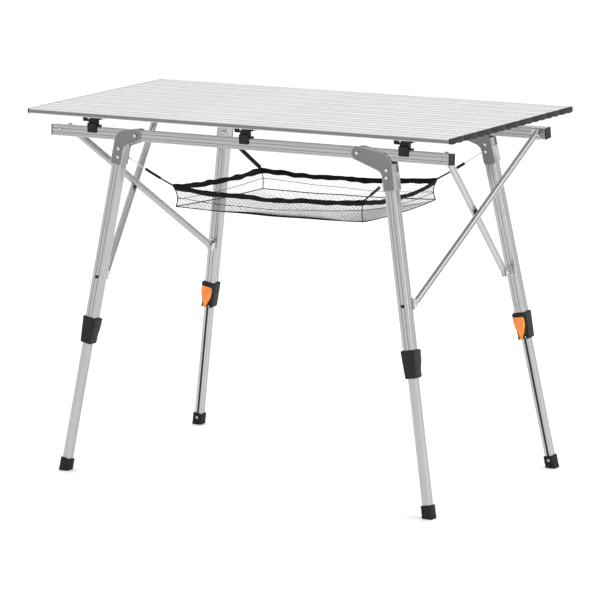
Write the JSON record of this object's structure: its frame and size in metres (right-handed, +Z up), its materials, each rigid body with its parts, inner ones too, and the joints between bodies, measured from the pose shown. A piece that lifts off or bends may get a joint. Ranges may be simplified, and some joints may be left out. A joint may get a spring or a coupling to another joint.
{
  "type": "folding picnic table",
  "caption": "Roll-top camping table: hinged aluminium slats on two rails, four telescopic folding legs with flip levers, crossed end braces and a hanging net basket.",
  "frame": {"origin": "on the floor, under the middle of the tabletop", "axes": "+X along the slats, +Y from the front rail to the back rail, +Z up"},
  "size_m": [0.9, 0.4484, 0.669],
  "materials": {
    "slat_aluminium": "satin anodised",
    "frame_aluminium": "satin anodised",
    "bracket_steel": "dark grey coat",
    "black_plastic": "fine grain",
    "lever_orange": "semi-gloss",
    "foot_rubber": "matte",
    "lug_steel": "plated",
    "basket_net": "open net"
  },
  "bodies": {
    "front_rail": {"rail_front": "frame_aluminium", "basket": "basket_net"},
    "back_rail": {"rail_back": "frame_aluminium"},
    "top": {"slat_9": "slat_aluminium", "cross_bar_left": "frame_aluminium", "cross_bar_middle": "frame_aluminium", "cross_bar_right": "frame_aluminium", "clip_front_left": "black_plastic", "clip_front_middle": "black_plastic", "clip_front_right": "black_plastic", "clip_back_left": "black_plastic", "clip_back_middle": "black_plastic", "clip_back_right": "black_plastic"},
    "slat_8": {"slat_8": "slat_aluminium"},
    "slat_7": {"slat_7": "slat_aluminium"},
    "slat_6": {"slat_6": "slat_aluminium"},
    "slat_5": {"slat_5": "slat_aluminium"},
    "slat_4": {"slat_4": "slat_aluminium"},
    "slat_3": {"slat_3": "slat_aluminium"},
    "slat_2": {"slat_2": "slat_aluminium"},
    "slat_1": {"slat_1": "slat_aluminium"},
    "leg_front_left": {"upper_leg_front_left": "frame_aluminium", "leg_bracket_front_left": "bracket_steel", "brace_lug_front_left": "lug_steel", "collar_front_left": "black_plastic"},
    "guide_front_left": {"guide_sleeve_front_left": "black_plastic"},
    "lower_leg_front_left": {"lower_leg_front_left": "frame_aluminium", "foot_front_left": "foot_rubber"},
    "lever_front_left": {"lever_front_left": "lever_orange"},
    "leg_front_right": {"upper_leg_front_right": "frame_aluminium", "leg_bracket_front_right": "bracket_steel", "brace_lug_front_right": "lug_steel", "collar_front_right": "black_plastic"},
    "guide_front_right": {"guide_sleeve_front_right": "black_plastic"},
    "lower_leg_front_right": {"lower_leg_front_right": "frame_aluminium", "foot_front_right": "foot_rubber"},
    "lever_front_right": {"lever_front_right": "lever_orange"},
    "leg_back_left": {"upper_leg_back_left": "frame_aluminium", "leg_bracket_back_left": "bracket_steel", "brace_lug_back_left": "lug_steel", "collar_back_left": "black_plastic"},
    "guide_back_left": {"guide_sleeve_back_left": "black_plastic"},
    "lower_leg_back_left": {"lower_leg_back_left": "frame_aluminium", "foot_back_left": "foot_rubber"},
    "lever_back_left": {"lever_back_left": "lever_orange"},
    "leg_back_right": {"upper_leg_back_right": "frame_aluminium", "leg_bracket_back_right": "bracket_steel", "brace_lug_back_right": "lug_steel", "collar_back_right": "black_plastic"},
    "guide_back_right": {"guide_sleeve_back_right": "black_plastic"},
    "lower_leg_back_right": {"lower_leg_back_right": "frame_aluminium", "foot_back_right": "foot_rubber"},
    "lever_back_right": {"lever_back_right": "lever_orange"},
    "brace_front_left": {"brace_front_left": "frame_aluminium"},
    "brace_front_right": {"brace_front_right": "frame_aluminium"},
    "brace_back_left": {"brace_back_left": "frame_aluminium"},
    "brace_back_right": {"brace_back_right": "frame_aluminium"}
  },
  "joints": [
    {"name": "top_lift", "type": "slide", "parent": "front_rail", "child": "top", "axis": [0, 0, 1], "range_m": [0, 0.12]},
    {"name": "frame_close", "type": "slide", "parent": "front_rail", "child": "back_rail", "axis": [0, -1, 0], "range_m": [0, 0.21], "deforming": ["basket"]},
    {"name": "slat_8_hinge", "type": "hinge", "parent": "top", "child": "slat_8", "pos_m": [0, 0.16489, 0.669], "axis": [-1, 0, 0], "range_deg": [0, 38]},
    {"name": "slat_7_hinge", "type": "hinge", "parent": "slat_8", "child": "slat_7", "pos_m": [0, 0.11778, 0.669], "axis": [-1, 0, 0], "range_deg": [0, 38]},
    {"name": "slat_6_hinge", "type": "hinge", "parent": "slat_7", "child": "slat_6", "pos_m": [0, 0.07067, 0.669], "axis": [-1, 0, 0], "range_deg": [0, 38]},
    {"name": "slat_5_hinge", "type": "hinge", "parent": "slat_6", "child": "slat_5", "pos_m": [0, 0.02356, 0.669], "axis": [-1, 0, 0], "range_deg": [0, 38]},
    {"name": "slat_4_hinge", "type": "hinge", "parent": "slat_5", "child": "slat_4", "pos_m": [0, -0.02356, 0.669], "axis": [-1, 0, 0], "range_deg": [0, 38]},
    {"name": "slat_3_hinge", "type": "hinge", "parent": "slat_4", "child": "slat_3", "pos_m": [0, -0.07067, 0.669], "axis": [-1, 0, 0], "range_deg": [0, 38]},
    {"name": "slat_2_hinge", "type": "hinge", "parent": "slat_3", "child": "slat_2", "pos_m": [0, -0.11778, 0.669], "axis": [-1, 0, 0], "range_deg": [0, 38]},
    {"name": "slat_1_hinge", "type": "hinge", "parent": "slat_2", "child": "slat_1", "pos_m": [0, -0.16489, 0.669], "axis": [-1, 0, 0], "range_deg": [0, 38]},
    {"name": "fold_front_left", "type": "hinge", "parent": "front_rail", "child": "leg_front_left", "pos_m": [-0.237, -0.1653, 0.62553], "axis": [0, -0.9968, 0.0802], "range_deg": [0, 101]},
    {"name": "guide_front_left_slide", "type": "slide", "parent": "leg_front_left", "child": "guide_front_left", "axis": [0.1908, 0.0787, 0.9785], "range_m": [0, 0.21]},
    {"name": "height_front_left", "type": "slide", "parent": "guide_front_left", "child": "lower_leg_front_left", "axis": [-0.1908, -0.0787, -0.9785], "range_m": [-0.21, 0]},
    {"name": "lever_front_left_flip", "type": "hinge", "parent": "leg_front_left", "child": "lever_front_left", "pos_m": [-0.34184, -0.18095, 0.24341], "axis": [0.9816, -0.0153, -0.1902], "range_deg": [-100, 0]},
    {"name": "fold_front_right", "type": "hinge", "parent": "front_rail", "child": "leg_front_right", "pos_m": [0.238, -0.1653, 0.62553], "axis": [0, 0.9968, -0.0802], "range_deg": [0, 99.2]},
    {"name": "guide_front_right_slide", "type": "slide", "parent": "leg_front_right", "child": "guide_front_right", "axis": [-0.1599, 0.0792, 0.984], "range_m": [0, 0.21]},
    {"name": "height_front_right", "type": "slide", "parent": "guide_front_right", "child": "lower_leg_front_right", "axis": [0.1599, -0.0792, -0.984], "range_m": [-0.21, 0]},
    {"name": "lever_front_right_flip", "type": "hinge", "parent": "leg_front_right", "child": "lever_front_right", "pos_m": [0.35691, -0.18084, 0.24478], "axis": [0.9871, 0.0128, 0.1594], "range_deg": [-100, 0]},
    {"name": "fold_back_left", "type": "hinge", "parent": "back_rail", "child": "leg_back_left", "pos_m": [-0.237, 0.1653, 0.62553], "axis": [0, -0.9968, -0.0802], "range_deg": [0, 101]},
    {"name": "guide_back_left_slide", "type": "slide", "parent": "leg_back_left", "child": "guide_back_left", "axis": [0.1908, -0.0787, 0.9785], "range_m": [0, 0.21]},
    {"name": "height_back_left", "type": "slide", "parent": "guide_back_left", "child": "lower_leg_back_left", "axis": [-0.1908, 0.0787, -0.9785], "range_m": [-0.21, 0]},
    {"name": "lever_back_left_flip", "type": "hinge", "parent": "leg_back_left", "child": "lever_back_left", "pos_m": [-0.34184, 0.18095, 0.24341], "axis": [-0.9816, -0.0153, 0.1902], "range_deg": [-100, 0]},
    {"name": "fold_back_right", "type": "hinge", "parent": "back_rail", "child": "leg_back_right", "pos_m": [0.238, 0.1653, 0.62553], "axis": [0, 0.9968, 0.0802], "range_deg": [0, 99.2]},
    {"name": "guide_back_right_slide", "type": "slide", "parent": "leg_back_right", "child": "guide_back_right", "axis": [-0.1599, -0.0792, 0.984], "range_m": [0, 0.21]},
    {"name": "height_back_right", "type": "slide", "parent": "guide_back_right", "child": "lower_leg_back_right", "axis": [0.1599, 0.0792, -0.984], "range_m": [-0.21, 0]},
    {"name": "lever_back_right_flip", "type": "hinge", "parent": "leg_back_right", "child": "lever_back_right", "pos_m": [0.35691, 0.18084, 0.24478], "axis": [-0.9871, 0.0128, -0.1594], "range_deg": [-100, 0]},
    {"name": "brace_front_left_swing", "type": "hinge", "parent": "front_rail", "child": "brace_front_left", "pos_m": [-0.4064, -0.1457, 0.62596], "axis": [-0.3336, -0.838, -0.4318], "range_deg": [0, 77.14]},
    {"name": "brace_front_right_swing", "type": "hinge", "parent": "front_rail", "child": "brace_front_right", "pos_m": [0.4064, -0.1457, 0.62596], "axis": [-0.3633, 0.8344, 0.4145], "range_deg": [0, 77.64]},
    {"name": "brace_back_left_swing", "type": "hinge", "parent": "back_rail", "child": "brace_back_left", "pos_m": [-0.4064, 0.1457, 0.62596], "axis": [0.3336, -0.838, 0.4318], "range_deg": [0, 77.14]},
    {"name": "brace_back_right_swing", "type": "hinge", "parent": "back_rail", "child": "brace_back_right", "pos_m": [0.4064, 0.1457, 0.62596], "axis": [0.3633, 0.8344, -0.4145], "range_deg": [0, 77.64]}
  ],
  "couplings": [
    {"joint": "slat_7_hinge", "follows": "slat_8_hinge", "ratio": 1},
    {"joint": "slat_6_hinge", "follows": "slat_8_hinge", "ratio": 1},
    {"joint": "slat_5_hinge", "follows": "slat_8_hinge", "ratio": 1},
    {"joint": "slat_4_hinge", "follows": "slat_8_hinge", "ratio": 1},
    {"joint": "slat_3_hinge", "follows": "slat_8_hinge", "ratio": 1},
    {"joint": "slat_2_hinge", "follows": "slat_8_hinge", "ratio": 1},
    {"joint": "slat_1_hinge", "follows": "slat_8_hinge", "ratio": 1},
    {"joint": "guide_front_left_slide", "follows": "fold_front_left", "m_per_rad": 0.1191},
    {"joint": "guide_front_right_slide", "follows": "fold_front_right", "m_per_rad": 0.1212},
    {"joint": "fold_back_left", "follows": "fold_front_left", "ratio": 1},
    {"joint": "guide_back_left_slide", "follows": "fold_front_left", "m_per_rad": 0.1191},
    {"joint": "fold_back_right", "follows": "fold_front_right", "ratio": 1},
    {"joint": "guide_back_right_slide", "follows": "fold_front_right", "m_per_rad": 0.1212},
    {"joint": "brace_front_left_swing", "follows": "frame_close", "rad_per_m": 6.4111},
    {"joint": "brace_front_right_swing", "follows": "frame_close", "rad_per_m": 6.4527},
    {"joint": "brace_back_left_swing", "follows": "frame_close", "rad_per_m": 6.4111},
    {"joint": "brace_back_right_swing", "follows": "frame_close", "rad_per_m": 6.4527}
  ]
}
